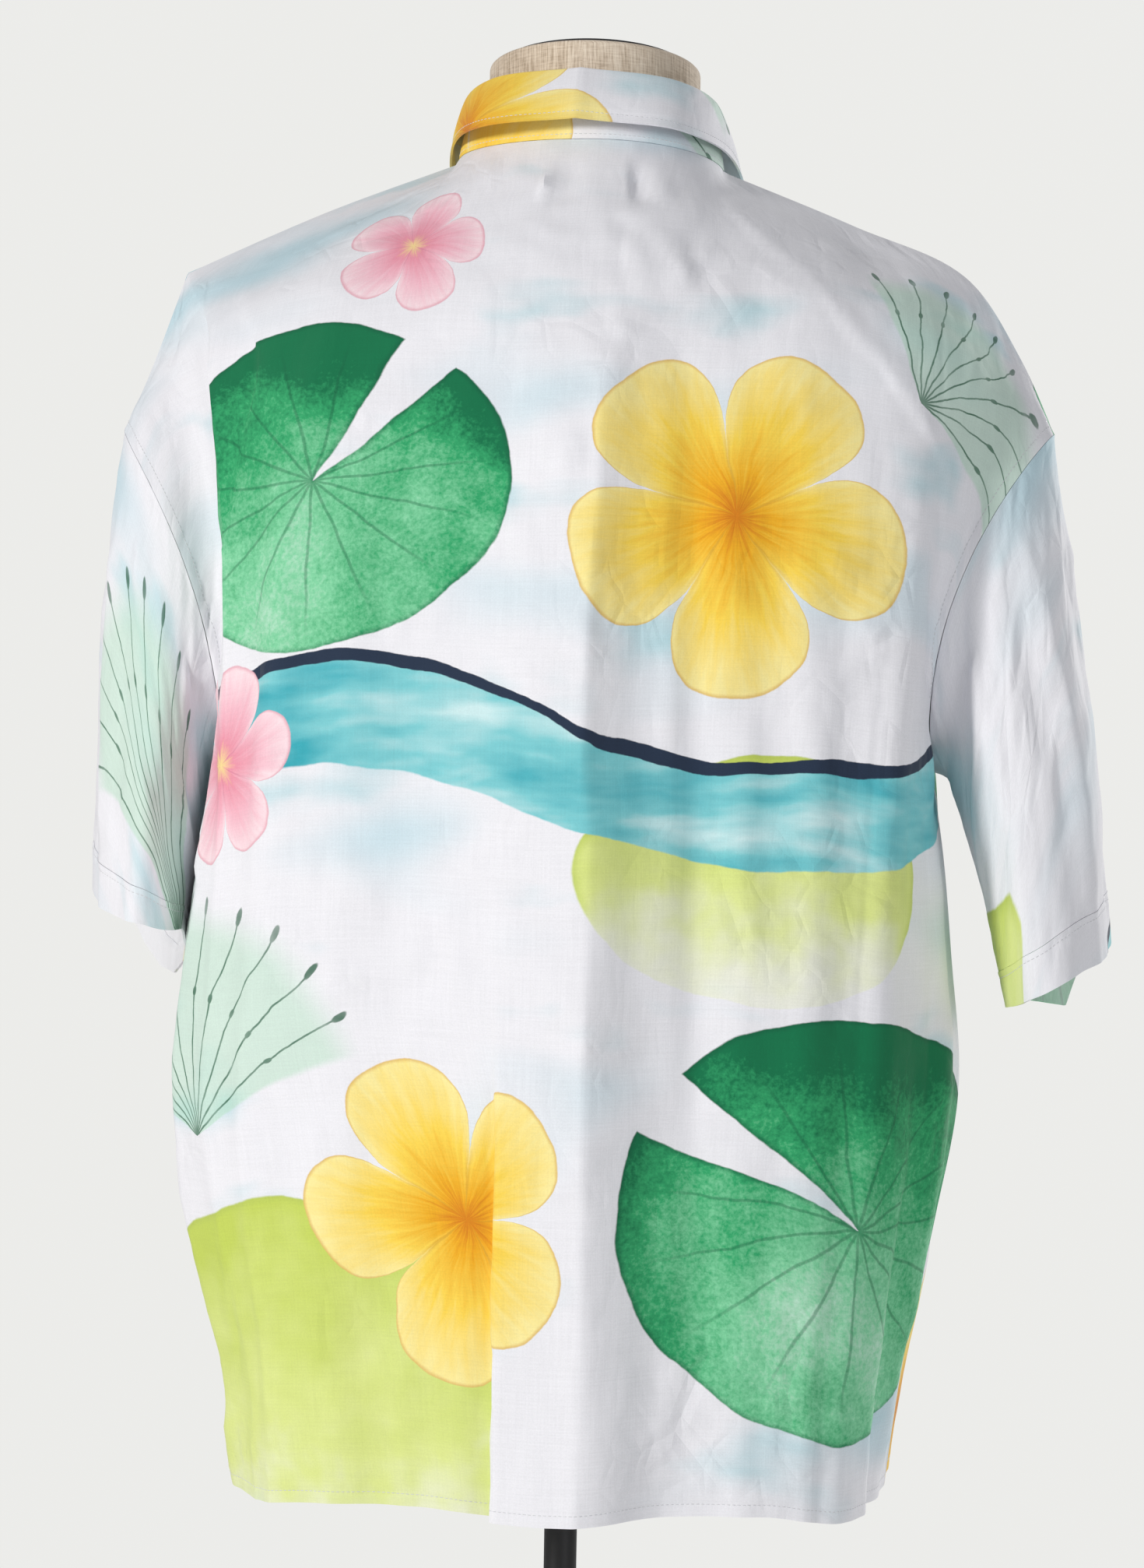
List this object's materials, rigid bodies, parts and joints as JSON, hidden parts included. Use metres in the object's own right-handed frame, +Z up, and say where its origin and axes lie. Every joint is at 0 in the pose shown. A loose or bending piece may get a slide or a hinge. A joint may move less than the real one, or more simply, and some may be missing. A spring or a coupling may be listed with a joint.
{
  "type": "short-sleeve shirt on dress form",
  "caption": "Wide collared short-sleeve shirt with a buttoned front, worn by a limbless linen dress form on a pole with a round base.",
  "frame": {"origin": "middle of the base's underside, on the pole's axis", "axes": "+Z up, the shirt's front faces -Y, +X is the wearer's left"},
  "size_m": [0.6431, 0.3446, 1.5091],
  "materials": {
    "cloth": "matte printed plain weave",
    "linen": "matte coarse linen",
    "button": "satin",
    "cap": "satin",
    "black_metal": "satin black"
  },
  "bodies": {
    "root": {"back": "cloth", "front_left": "cloth", "front_right": "cloth", "sleeve_left": "cloth", "sleeve_right": "cloth", "cuff_left": "cloth", "cuff_right": "cloth", "collar_stand": "cloth", "collar_fall": "cloth", "button_1": "button", "button_2": "button", "button_3": "button", "button_4": "button", "button_5": "button", "button_6": "button", "form_torso": "linen", "form_neck": "linen", "form_cap": "cap", "pole": "black_metal", "base": "black_metal"}
  },
  "joints": []
}
